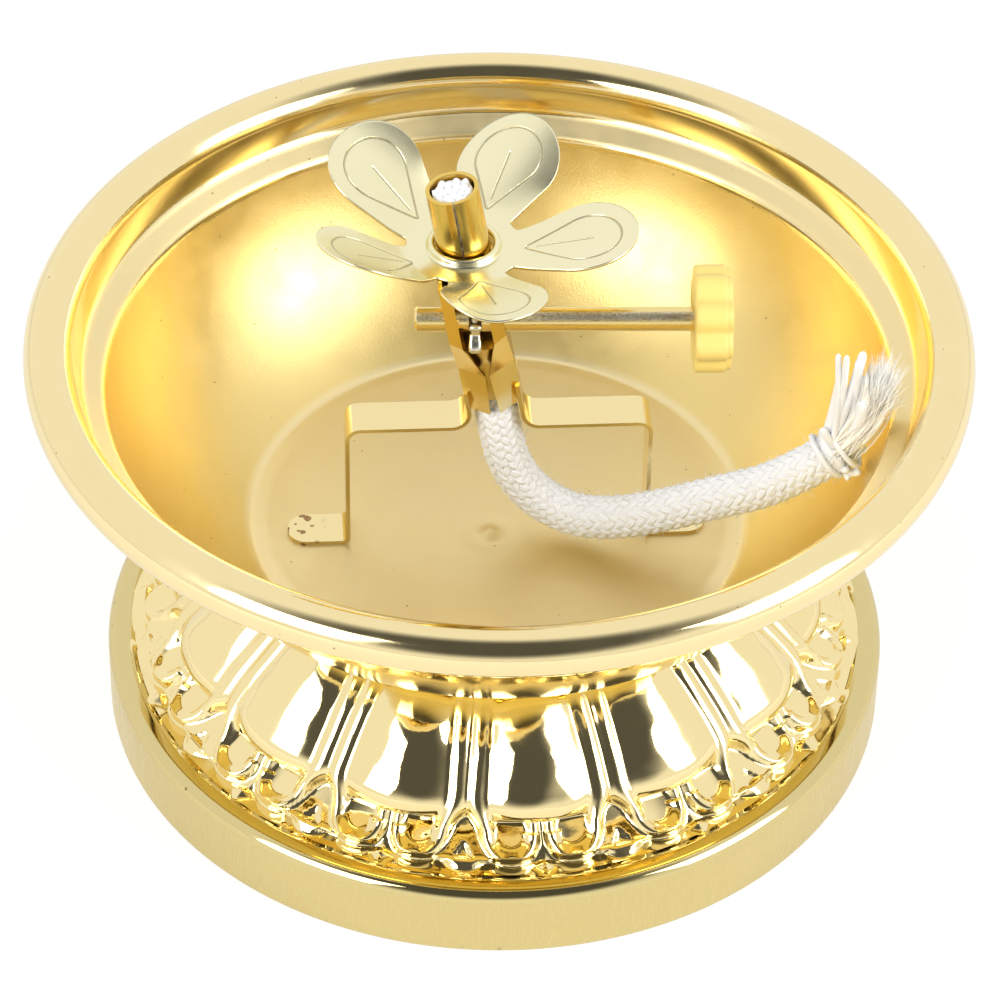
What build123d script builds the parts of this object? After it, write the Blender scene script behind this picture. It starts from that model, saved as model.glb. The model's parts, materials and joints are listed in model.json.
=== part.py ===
"""Butter lamp: a pressed sheet bowl on a lotus foot, with a wick holder standing in the bowl.

Millimetres, +Z up. The origin is the centre of the foot's lower rim, and the front faces -Y.
"""

import os
from math import cos, pi, radians, sin, tan

from build123d import *

# Foot, from the table up
foot_sheet = 0.6
foot_radius = 49.65
ledge_z = 9.9
ledge_flat = 3.85
shoulder_radius = 1.6
shoulder_sides = 3
hem_width = 1.8
hem_height = 1.2
lotus_bulge = 1.3
slope_sides = 3
neck_radius = 28.6
neck_height = 1.4
foot_height = 26.9

# Lotus petals pressed into the foot
petal_count = 14
first_petal_angle = -81.5
groove_half_angle = 3.26
petal_relief = 1.4
petal_root = 0.3
lobe_inset = 2.2
lobe_swell = 0.2
scoop_radius = 3.0
scoop_tip = 1.5
scoop_tilt = 8.5
scoop_length = 24.0
back_leaf_half_angle = 1.7
back_leaf_relief = 0.7
back_leaf_point = 2.0

# Bowl
bowl_sheet = 0.6
floor_radius = 30.9
wall_foot_slope = 28.0
wall_top_slope = 78.0
wall_top_radius = 48.4
wall_sides = 5
ledge_width = 2.7
ledge_rise = 1.6
riser_lean = 1.0
bead_radius = 2.96
bead_rise = 3.2
bead_curl = 300.0
bead_sides = 10

# Wick holder: one bent strip, turned a little in the bowl, with a leaning stem
strip_sheet = 0.5
strip_width = 5.2
holder_y = -2.3
holder_turn = 4.0
shelf_height = 18.4
floor_margin = 4.7
tab_length = 7.5
shelf_bend = 2.2
leg_bend = 1.6
tab_bend = 0.8
tab_round_margin = 0.2
stem_shift = -0.6
stem_lean = 9.5
stem_rise = 3.1
stem_swell = 0.5
arm_overlap = 3.0
tube_diameter = 6.4
tube_reach = 9.2
tube_socket = 1.0
seam_slit = 0.25

# Front of the stem: the lips at the foot, the closed seam and the open window
lip_depth = 3.6
lip_gap = 1.2
lip_edge = 2.2
seam_level = 7.0
seam_depth = 4.7
seam_gap = 0.5
seam_edge = 2.4
window_drop = 1.7
window_edge = 1.4
cheek_wall = 1.8
wheel_side_gap = 1.1

# Flower collar on the tube
flower_sheet = 0.4
flower_gap = 1.9
flower_clearance = 0.35
flower_turn = -3.0
flower_disc_width = 3.45
flower_bead_wall = 0.9
flower_bead_height = 1.3
flower_bead_rounding = 0.6
flower_petal_bends = (14.0, 24.0, 31.0, 30.0, 19.0)
flower_petal_reach = 21.2
flower_petal_half_width = 6.3
flower_neck_half_width = 2.9
flower_neck_offset = 2.05
flower_hinge_offset = 2.65
flower_hinge_bend = 5.0

# Feed spindle, star wheel and knob
rod_diameter = 3.0
rod_clearance = 0.1
press_clearance = 0.02
rod_overhang = 3.75
spindle_level = 17.2
spindle_turn = 1.8
knob_reach = 26.1
wheel_hub_wall = 0.9
tooth_height = 1.9
wheel_teeth = 6
wheel_phase = 37.0
wheel_thickness = 1.6
bite_clearance = 0.2
knob_diameter = 13.0
knob_thickness = 4.5
knob_lobes = 8
knob_lobe_radius = 1.9
knob_lobe_height = 0.8
knob_phase = 138.4
knob_flange = 0.6
knob_step = 0.3
knob_end_wall = 0.9
end_chamfer = 0.3

# Wick: the length in the tube and the free tail
wick_diameter = 5.8
wick_drop = 4.0
core_clearance = 0.2
core_squeeze = 1.4
core_end_gap = 0.8
core_recess = 0.4
bite_margin = 0.5
tail_gap = 0.4
tail_arc_share = 0.45
tuft_mid_radius = 2.6
tuft_tip_radius = 1.6

# Route of the wick's tail: steps from the stem's foot, the floor's middle, the floor's edge and the wall's top
tail_from_stem = [(0.95, -0.16, -6.4), (2.5, -0.31, -11.8)]
tail_on_floor = [(4.9, -3.1, 5.7), (9.5, -4.5, 3.9), (14.9, -6.2, 5.1)]
tail_up_wall = [(-9.9, -7.5, 7.8), (-3.4, -8.0, 10.6), (4.0, -7.7, 12.7)]
tail_end_step = (-6.3, -6.6, -5.6)
tuft_mid = (-3.5, -7.9, 0.9)
tuft_tip = (-1.7, -8.4, 5.7)

# Foot and bowl: places that follow from the sizes above
lotus_bottom_radius = foot_radius - shoulder_radius - ledge_flat
petal_half_angle = 180 / petal_count - groove_half_angle
lobe_half_angle = petal_half_angle / 2
lobe_centre_radius = lotus_bottom_radius - lobe_inset
lobe_radius = lobe_centre_radius * sin(radians(petal_half_angle - lobe_half_angle)) + lobe_swell
back_leaf_tip_radius = lotus_bottom_radius + back_leaf_point

floor_z = foot_height + bowl_sheet
wall_foot_sine = sin(radians(wall_foot_slope))
wall_radius = (wall_top_radius - floor_radius) / (sin(radians(wall_top_slope)) - wall_foot_sine)
wall_centre_r = floor_radius - wall_radius * wall_foot_sine
wall_centre_z = floor_z + wall_radius * cos(radians(wall_foot_slope))
wall_top_z = wall_centre_z - wall_radius * cos(radians(wall_top_slope))
ledge_end = (wall_top_radius + ledge_width, wall_top_z + ledge_rise)
bead_z = ledge_end[1] + bead_rise
bead_centre_r = ledge_end[0] + riser_lean + bead_radius

# Wick holder and feed: levels along the stem, from its foot up
core_radius = tube_diameter / 2 - strip_sheet - core_clearance
wheel_root_radius = rod_diameter / 2 + wheel_hub_wall
wheel_tip_radius = wheel_root_radius + tooth_height
feed_offset = core_squeeze + bite_clearance + wheel_tip_radius
stem_width = tube_diameter + stem_swell
stem_base_height = shelf_height + stem_rise
leg_reach = floor_radius - floor_margin - tab_length
window_level = spindle_level - window_drop
window_depth = feed_offset + rod_diameter / 2 + cheek_wall
window_gap = wheel_thickness + 2 * wheel_side_gap
flower_level = spindle_level + wheel_tip_radius + flower_gap
flower_hole_radius = tube_diameter / 2 + flower_clearance
tube_top = flower_level + tube_reach
core_bottom = wick_drop + core_end_gap
bite_top = spindle_level + wheel_tip_radius + wick_drop + bite_margin
knob_bore_depth = knob_thickness - knob_end_wall

holder_plane = Plane(
    origin=(0, holder_y, floor_z),
    x_dir=(cos(radians(holder_turn)), sin(radians(holder_turn)), 0),
    z_dir=(0, 0, 1),
)
holder_front = Plane(holder_plane.origin, x_dir=holder_plane.x_dir, z_dir=-holder_plane.y_dir)
lean_cos = cos(radians(stem_lean))
lean_sin = sin(radians(stem_lean))
stem_plane = Plane(
    origin=holder_plane.from_local_coords((stem_shift, 0, stem_base_height)),
    x_dir=holder_plane.x_dir * lean_cos + holder_plane.z_dir * lean_sin,
    z_dir=holder_plane.z_dir * lean_cos - holder_plane.x_dir * lean_sin,
)
flower_plane = Plane(origin=stem_plane.from_local_coords((0, 0, flower_level)))
spindle_plane = Plane(
    origin=stem_plane.from_local_coords((0, -feed_offset, spindle_level)),
    x_dir=(-sin(radians(spindle_turn)), cos(radians(spindle_turn)), 0),
    z_dir=(cos(radians(spindle_turn)), sin(radians(spindle_turn)), 0),
)

os.makedirs("parts", exist_ok=True)


def round_points(centre, radius, start, turn, sides):
    """Points along a round stretch of a section, from an angle through a turn, in equal sides."""
    angles = [radians(start + turn * step / sides) for step in range(sides + 1)]
    return [(centre[0] + radius * cos(angle), centre[1] + radius * sin(angle)) for angle in angles]


def sheet_outline(face_points, thickness):
    """Closed outline of a sheet: its face runs along the points, and its back lies to their right."""
    points = [Vector(point) for point in face_points]
    runs = [(after - before).normalized() for before, after in zip(points, points[1:])]
    rights = [Vector(run.Y, -run.X) for run in runs]
    back_points = []
    for point, before, after in zip(points, rights[:1] + rights, rights + rights[-1:]):
        mitre = before + after
        back_points.append(point + mitre * (2 * thickness / mitre.dot(mitre)))
    return points + back_points[::-1]


def lotus_slope(relief):
    """Points down the lotus slope: its chord, swelled by a parabola and moved out by the relief."""
    start = Vector(neck_radius, foot_height - neck_height)
    run = Vector(lotus_bottom_radius, ledge_z) - start
    out = Vector(-run.Y, run.X).normalized()
    shares = [step / slope_sides for step in range(slope_sides + 1)]
    swells = [4 * lotus_bulge * share * (1 - share) for share in shares]
    return [start + run * share + out * (relief + swell) for share, swell in zip(shares, swells)]


def lotus_ring(relief, toe_radius):
    """Section of raised lotus work: from inside the sheet out to the relief, with a toe on the ledge."""
    root_points = lotus_slope(-petal_root)
    toe_z = ledge_z - petal_root
    with BuildSketch(Plane.XZ) as ring:
        with BuildLine():
            Polyline(
                *lotus_slope(relief),
                (toe_radius, toe_z),
                (root_points[-1].X, toe_z),
                *reversed(root_points),
                close=True,
            )
        make_face()
    return ring.sketch


# Bowl: floor, round wall, stepped ledge and rolled rim, all one sheet
wall_turn = wall_top_slope - wall_foot_slope
wall_points = round_points(
    (wall_centre_r, wall_centre_z), wall_radius, wall_foot_slope - 90, wall_turn, wall_sides
)
bead_points = round_points((bead_centre_r, bead_z), bead_radius, 180, -bead_curl, bead_sides)
bowl_points = [(0, floor_z), *wall_points, ledge_end, *bead_points]
with BuildPart() as bowl:
    with BuildSketch(Plane.XZ):
        with BuildLine():
            Polyline(*sheet_outline(bowl_points, bowl_sheet), close=True)
        make_face()
    revolve(axis=Axis.Z)
bowl.part.label = "bowl"
export_step(bowl.part, "parts/bowl.step")

# Lotus petals: a raised ring cut to double-lobed outlines, with a trough up each lobe
lobe_y = lobe_centre_radius * sin(radians(lobe_half_angle))
lobe_x = lobe_centre_radius * cos(radians(lobe_half_angle))
petal_side = tan(radians(petal_half_angle))
petal_start = neck_radius / 2
petal_points = lotus_slope(petal_relief)
up_slope = (petal_points[-2] - petal_points[-1]).normalized()
up_trough = up_slope.rotate(Axis.Z, scoop_tilt)
off_trough = Vector(up_trough.Y, -up_trough.X)
scoop_start = petal_points[-1] + up_slope * scoop_tip + off_trough * scoop_radius
scoop_plane = Plane(
    origin=(scoop_start.X, 0, scoop_start.Y),
    x_dir=(0, 1, 0),
    z_dir=(up_trough.X, 0, up_trough.Y),
)
with BuildPart() as lotus_petals:
    revolve(lotus_ring(petal_relief, lobe_centre_radius + lobe_radius + petal_root), axis=Axis.Z)
    with BuildSketch():
        with PolarLocations(0, petal_count, first_petal_angle):
            Polygon(
                (petal_start, petal_start * petal_side),
                (petal_start, -petal_start * petal_side),
                (lobe_x, -lobe_x * petal_side),
                (lobe_x, lobe_x * petal_side),
                align=None,
            )
            with Locations((lobe_x, lobe_y), (lobe_x, -lobe_y)):
                Circle(lobe_radius)
    extrude(amount=foot_height, mode=Mode.INTERSECT)
    for lobe_angle in (-lobe_half_angle, lobe_half_angle):
        with PolarLocations(0, petal_count, first_petal_angle + lobe_angle):
            with Locations(scoop_plane):
                Cylinder(scoop_radius, 2 * scoop_length, mode=Mode.SUBTRACT)

# Back leaves: a low pointed ridge in the gap between two petals
leaf_side = tan(radians(back_leaf_half_angle))
with BuildPart() as back_leaves:
    revolve(lotus_ring(back_leaf_relief, back_leaf_tip_radius), axis=Axis.Z)
    with BuildSketch():
        with PolarLocations(0, petal_count, first_petal_angle + 180 / petal_count):
            Polygon(
                (petal_start, petal_start * leaf_side),
                (petal_start, -petal_start * leaf_side),
                (lotus_bottom_radius, -lotus_bottom_radius * leaf_side),
                (back_leaf_tip_radius, 0),
                (lotus_bottom_radius, lotus_bottom_radius * leaf_side),
                align=None,
            )
    extrude(amount=foot_height, mode=Mode.INTERSECT)

# Foot: hollow pressed pedestal with a vertical band, a hem to stand on and a closed top
shoulder_centre = (foot_radius - shoulder_radius, ledge_z - shoulder_radius)
shoulder_points = round_points(shoulder_centre, shoulder_radius, 90, -90, shoulder_sides)
top_points = [(0, foot_height), (neck_radius, foot_height)]
foot_points = [*top_points, *lotus_slope(0), *shoulder_points, (foot_radius, 0)]
with BuildPart() as foot:
    with BuildSketch(Plane.XZ):
        with BuildLine():
            Polyline(*sheet_outline(foot_points, foot_sheet), close=True)
        make_face()
        with BuildLine():
            Polyline(
                (foot_radius - hem_width, 0),
                (foot_radius - foot_sheet / 2, 0),
                (foot_radius - foot_sheet / 2, hem_height),
                (foot_radius - hem_width, hem_height),
                close=True,
            )
        make_face()
    revolve(axis=Axis.Z)
    add(lotus_petals.part)
    add(back_leaves.part)
foot.part.label = "foot"
export_step(foot.part, "parts/foot.step")


def stem_outline(depth, gap, edge, inset):
    """Plan of the stem: round at the back, straight cheeks, and edges turned in towards the front gap."""
    half = stem_width / 2 - inset
    front = inset - depth
    with BuildSketch() as outline:
        with BuildLine():
            ThreePointArc((-half, 0), (0, half), (half, 0))
            Polyline((half, 0), (half, front + edge), (gap / 2, front), (-gap / 2, front))
            Polyline((-gap / 2, front), (-half, front + edge), (-half, 0))
        make_face()
    return outline.sketch


def arm_line(side):
    """Middle line of one arm in the holder's upright plane: stem, shelf, leg and floor tab."""
    reach = side * (stem_width - strip_sheet) / 2
    shelf_station = (shelf_height - stem_base_height - reach * lean_sin) / lean_cos
    stem_points = [
        (
            stem_shift - station * lean_sin + reach * lean_cos,
            stem_base_height + station * lean_cos + reach * lean_sin,
        )
        for station in (arm_overlap, shelf_station)
    ]
    return stem_points + [
        (side * leg_reach, shelf_height),
        (side * leg_reach, strip_sheet / 2),
        (side * (leg_reach + tab_length), strip_sheet / 2),
    ]


# Wick holder: stem with window, top tube, and two arms that step down to the bowl's floor
stem_top = flower_level + stem_width * tan(radians(stem_lean))
stem_stations = [
    (0, lip_depth, lip_gap, lip_edge),
    (seam_level, seam_depth, seam_gap, seam_edge),
    (window_level, window_depth, window_gap, window_edge),
    (stem_top, window_depth, window_gap, window_edge),
]
stem_stretches = list(zip(stem_stations, stem_stations[1:]))
slit_depth = 4 * strip_sheet
with BuildPart() as wick_holder:
    for inset, mode in ((0, Mode.ADD), (strip_sheet, Mode.SUBTRACT)):
        for stretch in stem_stretches:
            for level, depth, gap, edge in stretch:
                with BuildSketch(stem_plane.offset(level)):
                    add(stem_outline(depth, gap, edge, inset))
            loft(ruled=True, mode=mode)
    for stretch in stem_stretches:
        for level, depth, gap, edge in stretch:
            with BuildSketch(stem_plane.offset(level)):
                with Locations((0, -depth)):
                    Rectangle(gap, slit_depth)
        loft(ruled=True, mode=Mode.SUBTRACT)
    split(bisect_by=flower_plane, keep=Keep.BOTTOM)
    with BuildSketch(stem_plane.offset(flower_level - tube_socket)):
        Circle(tube_diameter / 2)
        Circle(tube_diameter / 2 - strip_sheet, mode=Mode.SUBTRACT)
        with Locations((0, -tube_diameter / 2)):
            Rectangle(seam_slit, tube_diameter / 2, mode=Mode.SUBTRACT)
    extrude(amount=tube_reach + tube_socket)
    for side in (-1, 1):
        with BuildSketch(holder_front):
            with BuildLine():
                FilletPolyline(arm_line(side), radius=[shelf_bend, leg_bend, tab_bend])
            trace(line_width=strip_sheet)
        extrude(amount=strip_width / 2, both=True)
    along_arms = Axis(holder_plane.origin, holder_plane.x_dir)
    upright_edges = wick_holder.edges().filter_by(Axis.Z).sort_by(along_arms)
    fillet(upright_edges[:2] + upright_edges[-2:], strip_width / 2 - tab_round_margin)
    with Locations(spindle_plane):
        Cylinder(rod_diameter / 2 + rod_clearance, 3 * stem_width, mode=Mode.SUBTRACT)
wick_holder.part.label = "wick_holder"
export_step(wick_holder.part, "parts/wick_holder.step")


def flower_petal(index, bend):
    """One petal: a strip bent up at its root, cut to a teardrop outline seen square to the petal."""
    turn = radians(flower_turn + 360 / len(flower_petal_bends) * index)
    outward = Vector(cos(turn), sin(turn), 0)
    across = Vector(-sin(turn), cos(turn), 0)
    rising = outward * cos(radians(bend)) + Vector(0, 0, sin(radians(bend)))
    hinge_radius = flower_hole_radius + flower_hinge_offset
    with BuildPart() as petal:
        with BuildSketch(Plane(flower_plane.origin, x_dir=outward, z_dir=-across)):
            with BuildLine():
                FilletPolyline(
                    (flower_hole_radius + flower_sheet, flower_sheet / 2),
                    (hinge_radius, flower_sheet / 2),
                    (
                        hinge_radius + flower_petal_reach * cos(radians(bend)),
                        flower_sheet / 2 + flower_petal_reach * sin(radians(bend)),
                    ),
                    radius=flower_hinge_bend,
                )
            trace(line_width=flower_sheet)
        extrude(amount=flower_petal_half_width, both=True)
        with BuildSketch(Plane(flower_plane.origin, x_dir=rising, z_dir=rising.cross(across))):
            with Locations((flower_hole_radius + flower_neck_offset, 0)):
                Circle(flower_neck_half_width)
            with Locations((flower_petal_reach - flower_petal_half_width, 0)):
                Circle(flower_petal_half_width)
            make_hull()
        extrude(amount=flower_petal_reach, both=True, mode=Mode.INTERSECT)
    return petal.part


# Flower collar: a thin disc with a raised bead round its hole, and five bent petals
flower_petals = [flower_petal(index, bend) for index, bend in enumerate(flower_petal_bends)]
with BuildPart() as flower_collar:
    with BuildSketch(flower_plane):
        Circle(flower_hole_radius + flower_disc_width)
    extrude(amount=flower_sheet)
    with BuildSketch(flower_plane):
        Circle(flower_hole_radius + flower_bead_wall)
    extrude(amount=flower_bead_height)
    bead_top = flower_collar.edges().filter_by(GeomType.CIRCLE).sort_by(Axis.Z)[-1]
    fillet(bead_top, flower_bead_rounding)
    for petal in flower_petals:
        add(petal)
    with Locations(flower_plane):
        Cylinder(flower_hole_radius, 4 * flower_bead_height, mode=Mode.SUBTRACT)
flower_collar.part.label = "flower_collar"
export_step(flower_collar.part, "parts/flower_collar.step")

# Spindle: a plain rod across the front of the stem
with BuildPart() as spindle:
    with BuildSketch(spindle_plane.offset(-stem_width / 2 - rod_overhang)):
        Circle(rod_diameter / 2)
    extrude(amount=stem_width / 2 + rod_overhang + knob_reach + knob_bore_depth - press_clearance)
    chamfer(spindle.edges().filter_by(GeomType.CIRCLE), end_chamfer)
spindle.part.label = "spindle"
export_step(spindle.part, "parts/spindle.step")

# Feed wheel: a star pressed on the rod, whose points push the wick along
star_points = [
    Vector(wheel_root_radius if step % 2 else wheel_tip_radius, 0).rotate(
        Axis.Z, wheel_phase + 180 / wheel_teeth * step
    )
    for step in range(2 * wheel_teeth)
]
with BuildPart() as feed_wheel:
    with BuildSketch(spindle_plane.offset(-wheel_thickness / 2)):
        Polygon(*star_points, align=None)
        Circle(rod_diameter / 2 + press_clearance, mode=Mode.SUBTRACT)
    extrude(amount=wheel_thickness)
feed_wheel.part.label = "feed_wheel"
export_step(feed_wheel.part, "parts/feed_wheel.step")


def knob_outline(step):
    """Eight-lobed outline of the knob, drawn in by the step."""
    with BuildSketch() as outline:
        Circle(knob_diameter / 2 - knob_lobe_height - step)
        with PolarLocations(knob_diameter / 2 - knob_lobe_radius, knob_lobes, knob_phase):
            Circle(knob_lobe_radius - step)
    return outline.sketch


# Knob: lobed grip with a thin flange on its outer face and a blind hole for the rod
with BuildPart() as knob:
    with BuildSketch(spindle_plane.offset(knob_reach)):
        add(knob_outline(0))
    extrude(amount=knob_thickness - knob_flange)
    with BuildSketch(spindle_plane.offset(knob_reach)):
        add(knob_outline(knob_step))
    extrude(amount=knob_thickness)
    with BuildSketch(spindle_plane.offset(knob_reach)):
        Circle(rod_diameter / 2 + press_clearance)
    extrude(amount=knob_bore_depth, mode=Mode.SUBTRACT)
knob.part.label = "knob"
export_step(knob.part, "parts/knob.step")

# Wick inside the stem: round in the tube, pressed flat in front where the feed wheel bites
with BuildPart() as wick_core:
    with BuildSketch(stem_plane.offset(core_bottom)):
        Circle(core_radius)
    extrude(amount=tube_top - core_recess - core_bottom)
    with BuildSketch(stem_plane.offset(core_bottom)):
        with Locations((0, -core_squeeze)):
            Rectangle(2 * core_radius, 2 * core_radius, align=(Align.CENTER, Align.MAX))
    extrude(amount=bite_top - core_bottom, mode=Mode.SUBTRACT)
wick_core.part.label = "wick_core"
export_step(wick_core.part, "parts/wick_core.step")

# Free tail of the wick: out under the stem, over the floor and up the bowl's wall
floor_centre = Vector(0, 0, floor_z)
floor_edge = Vector(floor_radius, 0, floor_z)
wall_top = Vector(wall_top_radius, 0, wall_top_z)
tail_points = [stem_plane.from_local_coords((0, 0, -tail_gap))]
tail_points += [stem_plane.origin + Vector(step) for step in tail_from_stem]
tail_points += [floor_centre + Vector(step) for step in tail_on_floor]
tail_points += [floor_edge + Vector(step) for step in tail_up_wall]
tail_points += [wall_top + Vector(tail_end_step)]
tail_radii = []
for before, corner, after in zip(tail_points, tail_points[1:], tail_points[2:]):
    turn = radians((corner - before).get_angle(after - corner))
    run = min((corner - before).length, (after - corner).length)
    tail_radii.append(tail_arc_share * run / tan(turn / 2))
print("wick tail radii", [round(radius, 1) for radius in tail_radii])
with BuildPart() as wick_tail:
    with BuildLine() as tail_line:
        FilletPolyline(*tail_points, radius=tail_radii)
    tail_path = tail_line.wires()[0]
    with BuildSketch(Plane(origin=tail_path @ 0, z_dir=tail_path % 0)):
        Circle(wick_diameter / 2)
    sweep(path=tail_path)
tube_volume = pi * wick_diameter**2 / 4 * tail_path.length
print("wick tail length", round(tail_path.length, 2))
print("wick tail volume share", round(wick_tail.part.volume / tube_volume, 4))
wick_tail.part.label = "wick_tail"
export_step(wick_tail.part, "parts/wick_tail.step")

# Frayed end of the wick: loose yarn, as one tapered bundle
tail_end = Plane(origin=tail_path @ 1, z_dir=tail_path % 1)
tuft_middle = wall_top + Vector(tuft_mid)
tuft_end = wall_top + Vector(tuft_tip)
tuft_rise = tuft_end - tuft_middle
with BuildPart() as wick_tuft:
    with BuildSketch(tail_end):
        Circle(wick_diameter / 2)
    with BuildSketch(Plane(origin=tuft_middle, z_dir=tuft_rise)):
        Circle(tuft_mid_radius)
    with BuildSketch(Plane(origin=tuft_end, z_dir=tuft_rise)):
        Circle(tuft_tip_radius)
    loft(ruled=True)
wick_tuft.part.label = "wick_tuft"
export_step(wick_tuft.part, "parts/wick_tuft.step")
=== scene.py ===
# %% [markdown]
# # Butter lamp
#
# A pressed gold bowl stands on a lotus foot. Inside it a bent strip holds a wick tube, a flower collar
# and a winder with a yellow knob, and a braided cotton wick curls from the stem to the rim.
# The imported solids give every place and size. This lesson dresses them, one piece at a time.

import json
import math

import bmesh
import bpy
import numpy as np
from mathutils import Matrix, Vector

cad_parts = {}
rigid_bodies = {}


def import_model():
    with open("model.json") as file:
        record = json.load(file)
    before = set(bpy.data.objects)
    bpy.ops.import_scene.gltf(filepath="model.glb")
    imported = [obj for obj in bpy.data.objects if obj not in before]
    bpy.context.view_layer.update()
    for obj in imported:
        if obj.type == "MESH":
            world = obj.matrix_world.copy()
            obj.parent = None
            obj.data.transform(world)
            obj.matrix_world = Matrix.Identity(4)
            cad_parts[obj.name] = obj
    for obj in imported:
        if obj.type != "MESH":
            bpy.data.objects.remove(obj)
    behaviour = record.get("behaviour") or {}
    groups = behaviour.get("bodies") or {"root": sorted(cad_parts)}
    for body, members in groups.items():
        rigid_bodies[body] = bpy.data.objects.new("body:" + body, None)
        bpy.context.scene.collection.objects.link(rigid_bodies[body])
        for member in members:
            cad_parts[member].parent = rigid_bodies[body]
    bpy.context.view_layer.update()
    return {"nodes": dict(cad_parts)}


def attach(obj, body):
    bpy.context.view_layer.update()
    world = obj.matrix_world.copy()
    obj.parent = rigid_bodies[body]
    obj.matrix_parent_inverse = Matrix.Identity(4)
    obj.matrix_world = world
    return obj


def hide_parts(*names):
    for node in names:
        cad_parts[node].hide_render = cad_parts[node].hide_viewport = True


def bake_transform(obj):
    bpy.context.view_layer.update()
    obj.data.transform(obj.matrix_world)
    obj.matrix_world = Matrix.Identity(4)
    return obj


for leftover in list(bpy.data.objects):
    bpy.data.objects.remove(leftover)
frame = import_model()
MM = 0.001
scene = bpy.context.scene
scene.view_settings.view_transform = "Standard"
print("nodes", sorted(frame["nodes"]))

# %% [markdown]
# ## Camera
#
# The photograph looks down at the lamp from the front through a long lens. Its distance and lens come from
# the rim's ellipse, and the small shift and roll put the lamp where the photograph has it.

# %% Photograph's camera
camera_target = Vector((0, 0, 27.81 * MM))
camera_distance = 580 * MM
camera_elevation = math.radians(41.6)
camera_roll = math.radians(1.03)
camera_data = bpy.data.cameras.new("photo_view")
camera_data.sensor_width = 36
camera_data.lens = 165.5
camera_data.shift_x = 0.0034
camera_data.shift_y = 0.0117
camera = bpy.data.objects.new("photo_view", camera_data)
scene.collection.objects.link(camera)
towards_camera = Vector((0, -math.cos(camera_elevation), math.sin(camera_elevation)))
look = (-towards_camera).to_track_quat("-Z", "Y").to_matrix().to_4x4()
camera_place = Matrix.Translation(camera_target + towards_camera * camera_distance)
camera.matrix_world = camera_place @ look @ Matrix.Rotation(camera_roll, 4, "Z")
scene.camera = camera
print("camera at", [round(value, 4) for value in camera.location])

# %% [markdown]
# ## Surfaces from grids
#
# Every new piece is a grid of points worked out with numpy. One helper turns such grids into a mesh, closes
# the poles and seams by merging points that coincide, and turns the faces outwards.

# %% Grid and line helpers


def grid_object(name, grids, wrap_rows=False, wrap_columns=True, attributes=None):
    """Mesh object from grids of points, shaped patches by rows by columns by 3, in metres.

    Each cell becomes one face between its four corners. A wrapped direction joins its last line
    to its first. Points closer than a ten-thousandth of a millimetre become one.
    """
    grids = np.asarray(grids, dtype=float)
    if grids.ndim == 3:
        grids = grids[None]
    corner = np.arange(grids[..., 0].size).reshape(grids.shape[:3])
    if wrap_rows:
        corner = np.concatenate([corner, corner[:, :1]], axis=1)
    if wrap_columns:
        corner = np.concatenate([corner, corner[:, :, :1]], axis=2)
    cells = (corner[:, :-1, :-1], corner[:, :-1, 1:], corner[:, 1:, 1:], corner[:, 1:, :-1])
    faces = np.stack(cells, axis=-1).reshape(-1, 4)
    mesh = bpy.data.meshes.new(name)
    mesh.from_pydata(grids.reshape(-1, 3).tolist(), [], faces.tolist())
    for label, values in (attributes or {}).items():
        layer = mesh.attributes.new(label, "FLOAT", "POINT")
        layer.data.foreach_set("value", np.ascontiguousarray(values, dtype=np.float32).ravel())
    work = bmesh.new()
    work.from_mesh(mesh)
    bmesh.ops.remove_doubles(work, verts=work.verts, dist=0.0001 * MM)
    bmesh.ops.recalc_face_normals(work, faces=work.faces)
    work.to_mesh(mesh)
    work.free()
    mesh.shade_smooth()
    piece = bpy.data.objects.new(name, mesh)
    scene.collection.objects.link(piece)
    print(name, "faces", len(mesh.polygons))
    return piece


def unit(vectors):
    """Vectors divided by their lengths."""
    return vectors / np.linalg.norm(vectors, axis=-1, keepdims=True)


def even_points(line, count):
    """Points at equal distances along a line of points, and their distances from its start."""
    steps = np.linalg.norm(np.diff(line, axis=0), axis=1)
    along = np.concatenate([[0], np.cumsum(steps)])
    wanted = np.linspace(0, along[-1], count)
    return np.stack([np.interp(wanted, along, line[:, axis]) for axis in range(3)], axis=1), wanted


def smoothstep(low, high, value):
    """Cubic step from 0 at low to 1 at high."""
    share = np.clip((value - low) / (high - low), 0, 1)
    return share * share * (3 - 2 * share)


def crest(distance, half_width):
    """Rounded ridge: 1 on the line, falling off as a bell curve."""
    return np.exp(-((distance / half_width) ** 2))


def full_turn(count):
    """Equal steps round a circle, in radians."""
    return np.linspace(0, 2 * np.pi, count, endpoint=False)


def circle(turn, across, up):
    """Directions at some turns of a circle that starts at across and rises to up."""
    return np.cos(turn)[..., None] * across + np.sin(turn)[..., None] * up


def circle_reach(angle, centre, radius):
    """Distance from the origin to the far side of a circle whose centre lies out along angle zero."""
    return centre * np.cos(angle) + np.sqrt(np.clip(radius**2 - (centre * np.sin(angle)) ** 2, 0, None))


def quadratic(start, middle, end, share):
    """Quadratic curve from a start to an end, drawn towards a middle point."""
    return (1 - share) ** 2 * start + 2 * share * (1 - share) * middle + share**2 * end


# %% [markdown]
# ## The wick's tail
#
# The wick is a round braid of cotton yarn. Its line is one smooth spline through the bowl, with the points
# of the solid's route as its control points. Yarns of two families wind round that line in opposite
# directions. Each passes over two and under two of the other family, which gives the columns of small Vs.

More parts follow.
